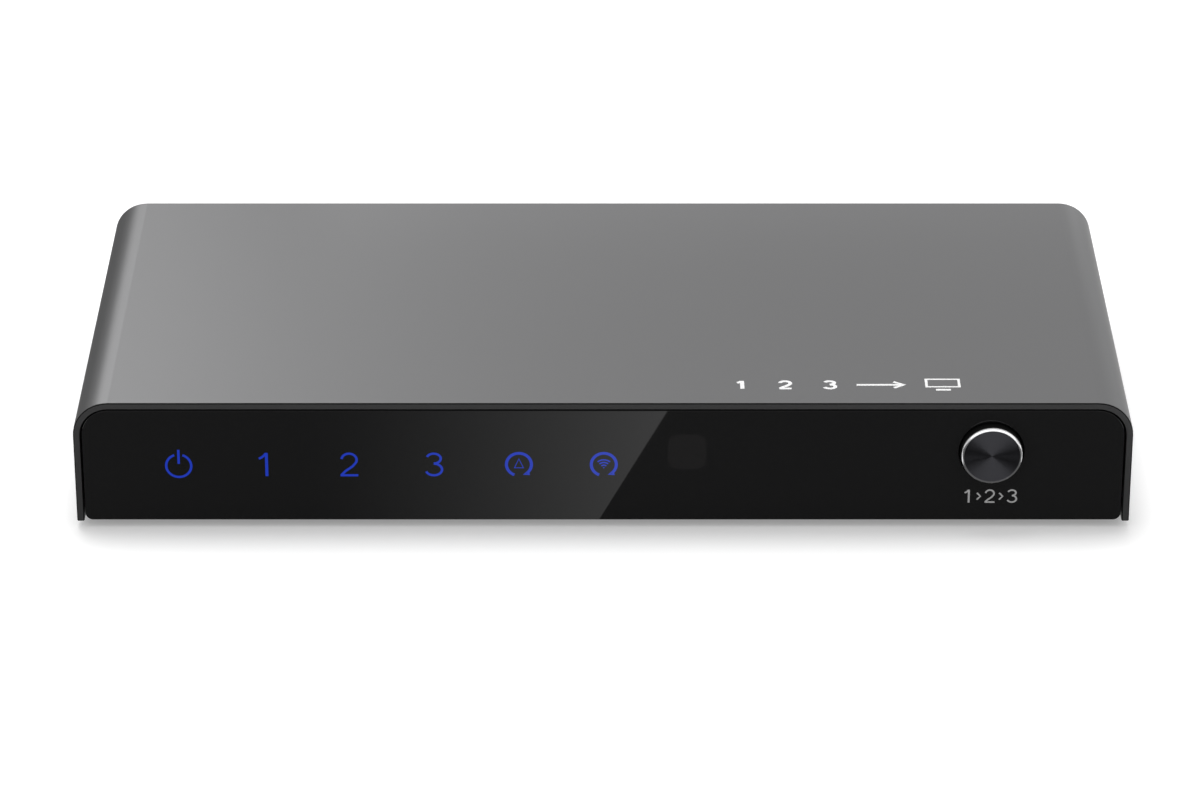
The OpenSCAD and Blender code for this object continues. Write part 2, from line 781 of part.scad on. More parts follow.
// The gold contacts on both faces of each tongue, those below half a step from those above
module socket_contacts() {
    middle = [tongue_z + (tongue_t + contact_t) / 2, tongue_z - (tongue_t + contact_t) / 2];
    color([0.85, 0.68, 0.3]) for (x = port_x, row = [0, 1], i = [0:contact_rows[row] - 1])
        slab(x + (i - (contact_rows[row] - 1) / 2) * contact_pitch, contact_w,
             [tongue_y0, tongue_y1 - contact_short], around(middle[row], contact_t));
}

// The power jack's moulded body, with a round nose through the rear panel and a bore for the plug
module power_jack_body() {
    color([0.05, 0.05, 0.05]) difference() {
        union() {
            slab(jack_x, jack_size[0], [jack_y0, jack_y1], [board_z1, board_z1 + jack_size[2]]);
            rod_y(jack_x, jack_z, jack_nose_r, jack_y1 - lap, jack_nose_y1);
        }
        rod_y(jack_x, jack_z, jack_bore_r, jack_bore_y0, jack_nose_y1 + over);
        rod_y(jack_x, jack_z, jack_root_r + jack_root_fit, jack_y0 - over, jack_bore_y0 + over);
        slab(jack_x, jack_slot_w, [jack_bore_y0, jack_slot_y1], [jack_floor_z, jack_z]);
        slab(jack_x, jack_slot_w, around(jack_leg_y[1], jack_leg[1] + 2 * leg_room),
             [board_z1 - over, jack_floor_z + over]);
    }
}

// The power jack's centre pin on its thicker root, and the leg behind the body that it is soldered by
module power_jack_pin() {
    root_y = jack_y0 - jack_leg[1];
    color([0.8, 0.79, 0.74]) {
        turned_y(jack_x, jack_z) polygon([
            [0, root_y], [jack_root_r, root_y], [jack_root_r, jack_bore_y0], [jack_pin_r, jack_bore_y0],
            [jack_pin_r, jack_tip_y - jack_tip], [jack_pin_r - jack_tip, jack_tip_y], [0, jack_tip_y]
        ]);
        slab(jack_x, jack_leg[0], [root_y, jack_y0], [board_z0 - lead_tail, jack_z]);
    }
}

// The power jack's sleeve spring: a strip on the floor of the body, folded back and bowed up where it
// meets the plug, with a leg down through the board
module power_jack_spring() {
    top_z = jack_floor_z + spring_t;
    crest_z = top_z + spring_bow;
    end_z = top_z + spring_bow / 2;
    color([0.8, 0.79, 0.74]) {
        slab(jack_x, jack_leg[0], [jack_bore_y0 + hair_gap, spring_y1], [jack_floor_z, top_z]);
        slab(jack_x, jack_leg[0], around(jack_leg_y[1], jack_leg[1]), [board_z0 - lead_tail, top_z]);
        translate([jack_x - jack_leg[0] / 2, 0, 0]) rotate([90, 0, 90])
            linear_extrude(jack_leg[0]) polygon([
                [spring_y1 - spring_t, jack_floor_z], [spring_y1, top_z], [spring_crest_y, crest_z],
                [spring_end_y, end_z], [spring_end_y + hair_gap, end_z - spring_t],
                [spring_crest_y, crest_z - spring_t]
            ]);
    }
}

// Chips and small parts on the board

// A row of bent chip leads along +X from the edge of a chip's body at y = 0, each out along -Y.
// size gives a lead's width, its reach from the body and the height where it leaves the body.
module lead_row(count, pitch, size) {
    shoulder = size[1] * 0.4;
    ankle = size[1] * 0.55;
    for (i = [0:count - 1]) translate([(i - (count - 1) / 2) * pitch - size[0] / 2, 0, board_z1])
        rotate([90, 0, 90]) linear_extrude(size[0]) polygon([
            [0, size[2]], [0, size[2] - chip_lead_t], [-shoulder, size[2] - chip_lead_t], [-ankle, 0],
            [-size[1], 0], [-size[1], chip_lead_t], [-ankle - chip_lead_t / 2, chip_lead_t],
            [-shoulder - chip_lead_t / 2, size[2]]
        ]);
}

// The video switching chip
module switch_chip() {
    color([0.06, 0.06, 0.065]) on_board(chip_at, chip_size, solder_gap);
}

// The switching chip's leads, one row on each side
module switch_chip_leads() {
    color([0.75, 0.75, 0.75]) for (turn = [0:90:270])
        translate([chip_at[0], chip_at[1], 0]) rotate(turn) translate([0, -chip_size[1] / 2, 0])
            lead_row(chip_lead_count, chip_lead_pitch, chip_lead);
}

// The small controller that reads the button and the remote control
module controller_chip() {
    color([0.06, 0.06, 0.065]) on_board(controller_at, controller_size, solder_gap);
}

// The controller's leads, on its two long sides
module controller_leads() {
    color([0.75, 0.75, 0.75]) for (turn = [0, 180])
        translate([controller_at[0], controller_at[1], 0]) rotate(turn)
            translate([0, -controller_size[1] / 2, 0])
                lead_row(controller_lead_count, controller_lead_pitch, controller_lead);
}

// The quartz crystal in its steel can, on a flat base
module crystal_can() {
    color([0.78, 0.78, 0.78]) {
        on_board(crystal_at, crystal_size, crystal_lift);
        for (side = [-1, 1])
            rod_z([crystal_at[0] + side * crystal_size[0] / 2, crystal_at[1]], crystal_size[1] / 2,
                  board_z1 + crystal_lift, board_z1 + crystal_size[2]);
        on_board(crystal_at, crystal_base);
    }
}

// The power converter's shielded coil, with a round dimple in its top
module power_coil() {
    color([0.22, 0.22, 0.23]) difference() {
        on_board(coil_at, coil_size);
        rod_z(coil_at, coil_dimple_r, board_z1 + coil_size[2] - coil_dimple_depth,
              board_z1 + coil_size[2] + over);
    }
}

// Two voltage regulators, each with a broad tab and three leads
module regulators() {
    lead_z = [board_z1, board_z1 + regulator_lead_t];
    root_y = regulator_size[1] / 2 - solder_gap;
    color([0.08, 0.08, 0.08]) for (at = regulator_at) {
        on_board(at, regulator_size, solder_gap);
        slab(at[0], regulator_tab_w, [at[1] + root_y, at[1] + regulator_reach], lead_z);
        for (step = [-1:1])
            slab(at[0] + step * regulator_lead_pitch, regulator_lead_w,
                 [at[1] - regulator_reach, at[1] - root_y], lead_z);
    }
}

// Two aluminium can capacitors on their square bases
module can_capacitors() {
    color([0.78, 0.78, 0.8]) for (at = can_at) {
        on_board(at, can_base);
        rod_z(at, can_r, board_z1 + can_base[2] / 2, board_z1 + can_h);
    }
}

// Rows of chip capacitors beside the switching chip and near each socket
module chip_capacitors() {
    color([0.62, 0.5, 0.36]) {
        for (side = [-1, 1], i = [0:capacitor_row - 1])
            on_board([chip_at[0] + side * capacitor_gap[0],
                      chip_at[1] + (i - (capacitor_row - 1) / 2) * capacitor_gap[1]],
                     [part_size[0], part_size[1], capacitor_h]);
        for (x = port_x, step = [-1:1])
            on_board([x + step * filter_pitch, socket_y0 - filter_gap],
                     [part_size[1], part_size[0], capacitor_h]);
    }
}

// A chip resistor behind each lamp, and a row of them behind the controller
module chip_resistors() {
    color([0.1, 0.1, 0.12]) {
        for (i = [0:symbol_count - 1])
            on_board([symbol_x(i), lead_y + lamp_resistor_gap], [part_size[0], part_size[1], resistor_h]);
        for (i = [0:resistor_row - 1])
            on_board([controller_at[0] + (i - (resistor_row - 1) / 2) * resistor_gap[0],
                      controller_at[1] + resistor_gap[1]], [part_size[1], part_size[0], resistor_h]);
    }
}

// Surge protection arrays, two in front of each video socket
module surge_arrays() {
    color([0.07, 0.07, 0.07]) for (x = port_x, side = [-1, 1])
        on_board([x + side * array_spread, socket_y0 - array_gap], array_size);
}

top_cover();
base_plate();
rear_panel();
front_panel();
panel_tape();
front_carrier();
diffuser_strip();
remote_window();
rubber_feet();
base_screws();
carrier_screws();
rear_screws();
button_cap();
button_stem();
switch_plunger();
switch_dome();
switch_housing();
switch_bracket();
indicator_lamps();
remote_receiver();
main_board();
standoffs();
board_screws();
socket_shell(port_x[0]);  // socket_shell_out
socket_shell(port_x[1]);  // socket_shell_in_1
socket_shell(port_x[2]);  // socket_shell_in_2
socket_shell(port_x[3]);  // socket_shell_in_3
socket_blocks();
socket_tongues();
socket_contacts();
power_jack_body();
power_jack_pin();
power_jack_spring();
switch_chip();
switch_chip_leads();
controller_chip();
controller_leads();
crystal_can();
power_coil();
regulators();
can_capacitors();
chip_capacitors();
chip_resistors();
surge_arrays();
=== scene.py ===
import math

import bpy
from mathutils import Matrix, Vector


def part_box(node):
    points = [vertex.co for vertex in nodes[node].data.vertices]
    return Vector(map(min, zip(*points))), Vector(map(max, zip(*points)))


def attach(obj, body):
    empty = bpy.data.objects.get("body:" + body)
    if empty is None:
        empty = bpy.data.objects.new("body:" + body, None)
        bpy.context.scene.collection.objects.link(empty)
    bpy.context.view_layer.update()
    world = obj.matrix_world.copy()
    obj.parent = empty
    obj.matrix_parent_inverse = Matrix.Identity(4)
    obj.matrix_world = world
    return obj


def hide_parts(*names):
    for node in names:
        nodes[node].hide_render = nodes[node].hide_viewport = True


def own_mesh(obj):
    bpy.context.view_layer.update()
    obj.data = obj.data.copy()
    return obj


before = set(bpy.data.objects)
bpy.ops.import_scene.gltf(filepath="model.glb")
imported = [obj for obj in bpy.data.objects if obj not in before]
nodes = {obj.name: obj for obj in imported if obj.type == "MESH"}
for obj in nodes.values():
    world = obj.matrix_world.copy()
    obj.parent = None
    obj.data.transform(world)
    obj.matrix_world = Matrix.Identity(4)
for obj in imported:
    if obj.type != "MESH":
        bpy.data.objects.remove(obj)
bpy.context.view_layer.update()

# Base plate and standoffs
# A flat black powder-coated steel sheet that closes the box from below, with four tapped steel standoffs
# pressed into it. Powder coat has a fine orange-peel skin.
mm = 0.001
grain_depth = 0.02 * mm
same_point = 0.001 * mm
flat_limit = math.radians(0.5)
corner_limit = math.radians(40)
sheet_edge = 0.12 * mm


def maths(tree, operation, *terms, clamp=False):
    """A maths node in a shader tree; each term is a number or another node's output."""
    made = tree.nodes.new("ShaderNodeMath")
    made.operation = operation
    made.use_clamp = clamp
    for socket, term in zip(made.inputs, terms):
        if isinstance(term, float):
            socket.default_value = term
        else:
            tree.links.new(term, socket)
    return made.outputs[0]


def grain_group():
    """Shader group: a colour and a roughness that vary over the surface, and a height for a bump."""
    tree = bpy.data.node_groups.new("surface_grain", "ShaderNodeTree")
    face = tree.interface
    face.new_socket("Colour", in_out="INPUT", socket_type="NodeSocketColor")
    for name in ("Roughness", "Fine Scale", "Broad Scale", "Colour Spread", "Roughness Spread"):
        face.new_socket(name, in_out="INPUT", socket_type="NodeSocketFloat")
    face.new_socket("Colour", in_out="OUTPUT", socket_type="NodeSocketColor")
    face.new_socket("Roughness", in_out="OUTPUT", socket_type="NodeSocketFloat")
    face.new_socket("Height", in_out="OUTPUT", socket_type="NodeSocketFloat")
    new, link = tree.nodes.new, tree.links.new
    given, out = new("NodeGroupInput").outputs, new("NodeGroupOutput").inputs
    place = new("ShaderNodeTexCoord").outputs["Object"]
    noises = []
    for scale, detail in (("Fine Scale", 3.0), ("Broad Scale", 4.0)):
        noise = new("ShaderNodeTexNoise")
        noise.inputs["Detail"].default_value = detail
        link(place, noise.inputs["Vector"])
        link(given[scale], noise.inputs["Scale"])
        noises.append(noise.outputs["Fac"])
    wave = maths(tree, "SUBTRACT", maths(tree, "ADD", *noises), 1.0)
    tint = new("ShaderNodeVectorMath")
    tint.operation = "SCALE"
    link(given["Colour"], tint.inputs[0])
    link(maths(tree, "MULTIPLY_ADD", wave, given["Colour Spread"], 1.0), tint.inputs["Scale"])
    link(tint.outputs[0], out["Colour"])
    link(maths(tree, "MULTIPLY_ADD", wave, given["Roughness Spread"], given["Roughness"]), out["Roughness"])
    link(noises[0], out["Height"])
    return tree


surface_grain = grain_group()


def finish(name, colour, rough, metal=0.0, fine=2500.0, broad=60.0, spread=0.12, rough_spread=0.12,
           bump=0.05, **constants):
    """A material with grain; constants are set on the shader's own sockets."""
    made = bpy.data.materials.new(name)
    made.use_nodes = True
    tree = made.node_tree
    shader = tree.nodes["Principled BSDF"].inputs
    grain = tree.nodes.new("ShaderNodeGroup")
    grain.node_tree = surface_grain
    grain.inputs["Colour"].default_value = (*colour, 1.0)
    for socket, value in (("Roughness", rough), ("Fine Scale", fine), ("Broad Scale", broad),
                          ("Colour Spread", spread), ("Roughness Spread", rough_spread)):
        grain.inputs[socket].default_value = value
    tree.links.new(grain.outputs["Colour"], shader["Base Color"])
    tree.links.new(grain.outputs["Roughness"], shader["Roughness"])
    shader["Metallic"].default_value = metal
    if bump:
        relief = tree.nodes.new("ShaderNodeBump")
        relief.inputs["Strength"].default_value = bump
        relief.inputs["Distance"].default_value = grain_depth
        tree.links.new(grain.outputs["Height"], relief.inputs["Height"])
        tree.links.new(relief.outputs["Normal"], shader["Normal"])
    for socket, value in constants.items():
        shader[socket.replace("_", " ")].default_value = value
    return made


def dress(material, *names):
    """Gives CAD nodes a material."""
    for name in names:
        nodes[name].data.materials.clear()
        nodes[name].data.materials.append(material)


def soften(width, *names):
    """Breaks the sharp edges of CAD nodes, as deburring or moulding does."""
    for name in names:
        stack = nodes[name].modifiers
        stack.new("weld", "WELD").merge_threshold = same_point
        flats = stack.new("flats", "DECIMATE")
        flats.decimate_type = "DISSOLVE"
        flats.angle_limit = flat_limit
        edges = stack.new("edges", "BEVEL")
        edges.width = width
        edges.segments = 2
        edges.limit_method = "ANGLE"
        edges.angle_limit = corner_limit
        edges.use_clamp_overlap = False
        stack.new("shading", "WEIGHTED_NORMAL").keep_sharp = True


powder_black = finish("powder_black", (0.022, 0.022, 0.024), 0.5, fine=1600.0, spread=0.25, bump=0.5)
dress(powder_black, "base_plate")
soften(sheet_edge, "base_plate")
zinc = finish("zinc_plate", (0.62, 0.62, 0.6), 0.32, metal=1.0)
dress(zinc, "standoffs", "board_screws", "switch_chip_leads", "controller_leads")

# Rubber feet
# Four round stick-on pads of black rubber under the base plate's corners, moulded with a soft rim and a
# shallow dish in the face that meets the table.
rubber = finish("black_rubber", (0.018, 0.018, 0.018), 0.78, spread=0.3, bump=0.4)
foot_low, foot_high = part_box("rubber_feet")
foot_r = 4.5 * mm
foot_h = foot_high.z - foot_low.z
foot_rim = 0.4 * mm
foot_band = 1.0 * mm
dish_slope = 0.4 * mm
dish_depth = 0.25 * mm
table_reach = 0.01 * mm
round_limit = math.radians(35)


def pick(piece, wanted):
    """Selects the faces for which wanted(face) is true, and leaves the piece in edit mode."""
    bpy.ops.object.mode_set(mode="EDIT")
    bpy.ops.mesh.select_mode(type="FACE")
    bpy.ops.mesh.select_all(action="DESELECT")
    bpy.ops.object.mode_set(mode="OBJECT")
    for face in piece.data.polygons:
        face.select = wanted(face)
    bpy.ops.object.mode_set(mode="EDIT")


def meets_table(face):
    return face.normal.z < -0.9 and face.center.z < table_reach


feet = []
for x in (foot_low.x + foot_r, foot_high.x - foot_r):
    for y in (foot_low.y + foot_r, foot_high.y - foot_r):
        bpy.ops.object.select_all(action="DESELECT")
        bpy.ops.mesh.primitive_cylinder_add(vertices=64, radius=foot_r, depth=foot_h,
                                            location=(x, y, foot_h / 2))
        foot = bpy.context.object
        bpy.ops.object.transform_apply(location=True)
        pick(foot, meets_table)
        bpy.ops.mesh.bevel(offset=foot_rim, segments=4, affect="EDGES")
        pick(foot, meets_table)
        bpy.ops.mesh.inset(thickness=foot_band)
        bpy.ops.mesh.inset(thickness=dish_slope)
        bpy.ops.transform.translate(value=(0, 0, dish_depth))
        bpy.ops.object.mode_set(mode="OBJECT")
        feet.append(foot)
bpy.ops.object.select_all(action="DESELECT")
for foot in feet:
    foot.select_set(True)
bpy.context.view_layer.objects.active = feet[0]
bpy.ops.object.join()
feet = bpy.context.object
feet.name = "feet"
bpy.ops.object.origin_set(type="ORIGIN_CURSOR")
bpy.ops.object.shade_smooth_by_angle(angle=round_limit)
feet.data.materials.append(rubber)
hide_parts("rubber_feet")
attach(feet, "case")

# Screws
# Small cross-head steel screws with a black oxide skin: countersunk ones flush in the base plate, and
# pan heads in the corners of the rear panel. Oxide is dark and slightly glossy.
black_oxide = finish("black_oxide", (0.06, 0.06, 0.064), 0.38, metal=0.9, spread=0.3)
dress(black_oxide, "base_screws", "carrier_screws", "rear_screws")

# Main board and its parts
# A green glass-fibre board on the standoffs, with the switching chip, controller, crystal, coil,
# regulators and small chip parts soldered to it.
solder_mask = finish("solder_mask", (0.012, 0.085, 0.035), 0.38, fine=700.0, spread=0.35, bump=0.1,
                     Coat_Weight=0.3)
dress(solder_mask, "main_board")
chip_epoxy = finish("chip_epoxy", (0.018, 0.018, 0.019), 0.6, fine=4000.0, spread=0.2)
dress(chip_epoxy, "switch_chip", "controller_chip", "regulators", "surge_arrays", "chip_resistors",
      "remote_receiver")
can_aluminium = finish("can_aluminium", (0.62, 0.62, 0.63), 0.28, metal=1.0)
dress(can_aluminium, "can_capacitors", "crystal_can")
ferrite = finish("ferrite", (0.05, 0.05, 0.052), 0.65, spread=0.3, bump=0.3)
dress(ferrite, "power_coil")
ceramic_tan = finish("ceramic_tan", (0.36, 0.24, 0.13), 0.5, spread=0.2)
dress(ceramic_tan, "chip_capacitors")

# Video sockets
# Folded steel shells, nickel plated, round a black insulating block and tongue with gold-plated contacts,
# soldered to the board's rear edge so that their mouths pass through the rear panel.
nickel = finish("nickel_plate", (0.6, 0.59, 0.57), 0.24, metal=1.0, fine=900.0, rough_spread=0.15)
shells = ["socket_shell_out", "socket_shell_in_1", "socket_shell_in_2", "socket_shell_in_3"]
shell_edge = 0.06 * mm
dress(nickel, *shells)
soften(shell_edge, *shells)
moulded = finish("moulded_black", (0.017, 0.017, 0.017), 0.5, fine=3000.0, spread=0.25, bump=0.2)
dress(moulded, "socket_blocks", "socket_tongues")
gold_plate = finish("gold_plate", (0.85, 0.58, 0.2), 0.22, metal=1.0)
dress(gold_plate, "socket_contacts")

# Power jack
# A moulded black barrel jack beside the sockets, soldered to the board, with a plated centre pin and a
# sprung sleeve contact.
jack_edge = 0.15 * mm
dress(moulded, "power_jack_body")
soften(jack_edge, "power_jack_body")
plated_spring = finish("plated_spring", (0.66, 0.62, 0.52), 0.28, metal=1.0)
dress(plated_spring, "power_jack_pin", "power_jack_spring", "switch_bracket")

# Rear panel
# A black powder-coated plate with a cut-out for each socket, screwed to the ends of the cover's channels.
# White screen-printed numbers mark the inputs, and plain arrows the signal's direction.
dress(powder_black, "rear_panel")
soften(sheet_edge, "rear_panel")
rear_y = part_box("rear_panel")[1].y
mark_h = 2.0 * mm
mark_foot = 13.9 * mm
mark_left = 1.6 * mm
mark_stroke = 0.28 * mm
ink_t = 0.02 * mm
arrow_z = mark_foot + mark_h / 2
arrow_barb = 0.7 * mm
in_tip, in_tail = 0.6 * mm, 2.6 * mm
out_half = 1.4 * mm
stroke_limit = math.radians(60)


def arc(cx, cz, rx, rz, start, stop, steps=24):
    """Points along part of an ellipse, by angles in degrees."""
    turn = [math.radians(start + (stop - start) * i / steps) for i in range(steps + 1)]
    return [(cx + rx * math.cos(t), cz + rz * math.sin(t)) for t in turn]


digits = {
    "1": [[(-0.2, 0.75), (-0.1, 0.8), (0.0, 0.88), (0.06, 0.97)], [(0.08, 1.0), (0.08, 0.0)],
          [(0.1, 0.98), (0.1, 0.0)]],
    "2": [arc(0, 0.7, 0.29, 0.265, 172, -28) + [(0.12, 0.41), (-0.14, 0.22), (-0.31, 0.04)],
          [(-0.34, 0.035), (0.34, 0.035)]],
    "3": [arc(-0.01, 0.755, 0.27, 0.21, 160, -90), arc(-0.01, 0.285, 0.315, 0.25, 90, -160)],
}


def shift(lines, size, x, z):
    """Lines scaled by size and moved to x, z."""
    return [[(x + px * size, z + pz * size) for px, pz in line] for line in lines]


def arrow(tail, tip, level, barb, spread):
    """A level shaft from tail to tip, and a head whose two barbs run back and apart from the tip."""
    back = tip - math.copysign(barb, tip - tail)
    return [[(tail, level), (tip, level)], [(back, level + spread), (tip, level), (back, level - spread)]]


def printed(name, lines, width, thick, material, plane, at):
    """Flat strokes of ink on a face: front or rear (lines in X and Z) or top (lines in X and Y)."""
    bpy.ops.object.select_all(action="DESELECT")
    bpy.ops.curve.primitive_bezier_curve_add(location=(0, 0, 0))
    ink = bpy.context.object
    ink.name = name
    ink.data.splines.clear()
    ink.data.dimensions = "3D"
    ink.data.bevel_depth = width / 2
    ink.data.bevel_resolution = 2
    ink.data.use_fill_caps = True
    for line in lines:
        closed = line[0] == line[-1]
        corners = line[:-1] if closed else line
        spline = ink.data.splines.new("POLY")
        spline.use_cyclic_u = closed
        spline.points.add(len(corners) - 1)
        for point, (u, v) in zip(spline.points, corners):
            side = {"front": (u, 0, v), "rear": (-u, 0, v), "top": (u, v, 0)}[plane]
            point.co = (*side, 1.0)
    bpy.ops.object.convert(target="MESH")
    bpy.ops.object.mode_set(mode="EDIT")
    bpy.ops.mesh.select_all(action="SELECT")
    bpy.ops.mesh.remove_doubles(threshold=same_point)
    bpy.ops.mesh.normals_make_consistent(inside=False)
    flat = thick / width
    pressed = (1, 1, flat) if plane == "top" else (1, flat, 1)
    bpy.ops.transform.resize(value=pressed, center_override=(0, 0, 0))
    bpy.ops.transform.translate(value=at)
    bpy.ops.object.mode_set(mode="OBJECT")
    bpy.ops.object.shade_smooth_by_angle(angle=stroke_limit)
    ink.data.materials.clear()
    ink.data.materials.append(material)
    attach(ink, "case")
    return ink


def socket_middle(name):
    """The middle of a socket across the rear panel, seen from behind."""
    low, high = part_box(name)
    return -(low.x + high.x) / 2


white_ink = finish("white_ink", (0.8, 0.8, 0.8), 0.55, spread=0.08, bump=0.1)
marks = []
for digit in "123":
    x = socket_middle("socket_shell_in_" + digit)
    marks += shift(digits[digit], mark_h, x - mark_left, mark_foot)
    marks += arrow(x + in_tail, x + in_tip, arrow_z, arrow_barb, arrow_barb)
x = socket_middle("socket_shell_out")
marks += arrow(x - out_half, x + out_half, arrow_z, arrow_barb, arrow_barb)
printed("rear_marks", marks, mark_stroke, ink_t, white_ink, "rear", (0, rear_y, 0))

# Front carrier, lamps and switch
# A moulded frame behind the front panel with a light tunnel for each blue lamp, a tunnel for the remote
# control receiver and a guide for the button; the push switch stands on the board behind it.
dress(moulded, "front_carrier", "switch_housing", "switch_plunger", "button_stem")
lamp_lens = finish("lamp_lens", (0.08, 0.16, 0.8), 0.15, spread=0.05, bump=0.0, Coat_Weight=0.4)
dress(lamp_lens, "indicator_lamps")
milky_film = finish("milky_film", (0.8, 0.82, 0.86), 0.5, spread=0.05)
dress(milky_film, "diffuser_strip")
smoked_window = finish("smoked_window", (0.03, 0.012, 0.016), 0.12, spread=0.1, bump=0.0)
dress(smoked_window, "remote_window")
tape_paper = finish("tape_paper", (0.7, 0.68, 0.62), 0.7, spread=0.1)
dress(tape_paper, "panel_tape")

# Snap dome
# A thin sprung disc of plated steel, pressed to a dome, that lies loose in the switch's housing. The plunger
# pushes its crown flat, which gives the click, and it springs back.
dome_low, dome_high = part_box("switch_dome")
dome_r = (dome_high.x - dome_low.x) / 2
dome_h = dome_high.y - dome_low.y
dome_at = (dome_low + dome_high) / 2
dome_t = 0.1 * mm
dome_rings = 10
ball_r = (dome_r ** 2 + (dome_h - dome_t) ** 2) / (2 * (dome_h - dome_t))


def ball_reach(ring):
    """How far the ball that the dome is cut from reaches at a ring, counted from the rim."""
    return math.sqrt(ball_r ** 2 - (dome_r * (1 - ring / dome_rings)) ** 2)


bpy.ops.object.select_all(action="DESELECT")
bpy.ops.mesh.primitive_circle_add(vertices=48, radius=dome_r, fill_type="NGON",
                                  rotation=(math.radians(90), 0, 0),
                                  location=(dome_at.x, dome_high.y - dome_t, dome_at.z))
dome = bpy.context.object
dome.name = "snap_dome"
bpy.ops.object.transform_apply(location=True, rotation=True)
bpy.ops.object.mode_set(mode="EDIT")
bpy.ops.mesh.select_all(action="SELECT")
for ring in range(1, dome_rings):
    bpy.ops.mesh.inset(thickness=dome_r / dome_rings)
    bpy.ops.transform.translate(value=(0, ball_reach(ring - 1) - ball_reach(ring), 0))
bpy.ops.mesh.select_all(action="SELECT")
bpy.ops.mesh.extrude_region_move(TRANSFORM_OT_translate={"value": (0, dome_t, 0)})
bpy.ops.mesh.select_all(action="SELECT")
bpy.ops.mesh.normals_make_consistent(inside=False)
bpy.ops.object.mode_set(mode="OBJECT")
bpy.ops.object.shade_smooth_by_angle(angle=round_limit)
dome.data.materials.append(plated_spring)
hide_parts("switch_dome")
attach(dome, "case")
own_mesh(dome)

# Front panel
# A cut sheet of gloss black acrylic, polished at its edges and taped to the carrier. A patch of thinner
# paint, hardly seen, lets the remote control's light through.
panel_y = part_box("front_panel")[0].y
panel_edge = 0.06 * mm
window_at = (11.3 * mm, 0.0, 11.4 * mm)
window_half = 2.6 * mm
window_squareness = 4.0
window_blur = 0.2
window_colour = (0.0125, 0.012, 0.0122, 1.0)
acrylic = finish("gloss_acrylic", (0.0068, 0.0068, 0.007), 0.045, fine=300.0, broad=25.0, spread=0.06,
                 rough_spread=0.02, bump=0.0, IOR=1.49)
dress(acrylic, "front_panel")
soften(panel_edge, "front_panel")

tree = acrylic.node_tree
centred = tree.nodes.new("ShaderNodeMapping")
centred.inputs["Location"].default_value = tuple(-c for c in window_at)
tree.links.new(tree.nodes.new("ShaderNodeTexCoord").outputs["Object"], centred.inputs["Vector"])
axes = tree.nodes.new("ShaderNodeSeparateXYZ")
tree.links.new(centred.outputs["Vector"], axes.inputs["Vector"])
powers = []
for axis in "XZ":
    share = maths(tree, "DIVIDE", maths(tree, "ABSOLUTE", axes.outputs[axis]), window_half)
    powers.append(maths(tree, "POWER", share, window_squareness))
edge = tree.nodes.new("ShaderNodeMapRange")
edge.inputs["From Min"].default_value = 1 - window_blur
edge.inputs["From Max"].default_value = 1 + window_blur
edge.inputs["To Min"].default_value = 1.0
edge.inputs["To Max"].default_value = 0.0
tree.links.new(maths(tree, "ADD", *powers), edge.inputs["Value"])
mix = tree.nodes.new("ShaderNodeMix")
mix.data_type = "RGBA"
panel_paint, window_paint, mixed_paint = mix.inputs[6], mix.inputs[7], mix.outputs[2]
base_colour = tree.nodes["Principled BSDF"].inputs["Base Color"]
tree.links.new(edge.outputs["Result"], mix.inputs["Factor"])
tree.links.new(base_colour.links[0].from_socket, panel_paint)
window_paint.default_value = window_colour
tree.links.new(mixed_paint, base_colour)

# Lit symbols
# Clear shapes left in the panel's black paint, lit blue from behind: a power sign, the input numbers, and
# two open ring arrows for automatic switching and for the remote control.
lit = finish("lit_blue", (0.004, 0.008, 0.03), 0.045, spread=0.05, rough_spread=0.02, bump=0.0, IOR=1.49,
             Emission_Color=(0.009, 0.032, 0.41, 1.0), Emission_Strength=1.0)
symbol_first_x = -56.9 * mm
symbol_pitch = 11.4 * mm
symbol_z = 9.5 * mm
symbol_h = 3.5 * mm
symbol_stroke = 0.33 * mm
ring_r = 1.68 * mm
ring_stroke = 0.41 * mm
inner_stroke = 0.2 * mm
power_x, power_z = -0.1 * mm, -0.2 * mm
stem_x, stem_low, stem_high = -0.08 * mm, 0.1 * mm, 2.2 * mm
wave_foot = -0.6 * mm
wave_radii = (0.1 * mm, 0.5 * mm, 0.9 * mm, 1.3 * mm)
signs = []


def ring_arrow():
    """A ring open at the bottom, its right end widened to an arrow head."""
    line = arc(0, 0, ring_r, ring_r, -50, 248, 48)
    tip, heel, back = (0.72 * mm, -1.47 * mm), (1.32 * mm, -1.47 * mm), (1.22 * mm, -1.02 * mm)
    return [line, [tip, heel, back, tip]]


def symbol(index, name, lines, width=symbol_stroke):
    """A lit sign at its place in the row."""
    moved = shift(lines, 1, symbol_first_x + index * symbol_pitch, symbol_z)
    signs.append(printed(name, moved, width, ink_t, lit, "front", (0, panel_y, 0)))


symbol(0, "sign_power", [arc(power_x, power_z, ring_r, ring_r, 71, -251, 48),
                         [(stem_x, stem_low), (stem_x, stem_high)]])
for index, digit in enumerate("123", 1):
    symbol(index, "sign_" + digit, shift(digits[digit], symbol_h, 0, -symbol_h / 2))
symbol(4, "sign_auto", ring_arrow(), ring_stroke)
left, right, peak = (-0.6 * mm, -0.5 * mm), (0.6 * mm, -0.5 * mm), (0.0, 0.85 * mm)
symbol(4, "sign_auto_inner", [[left, peak, right, left]], inner_stroke)
symbol(5, "sign_remote", ring_arrow(), ring_stroke)
symbol(5, "sign_remote_inner", [arc(0, wave_foot, r, r, 50, 130, 10) for r in wave_radii], inner_stroke)

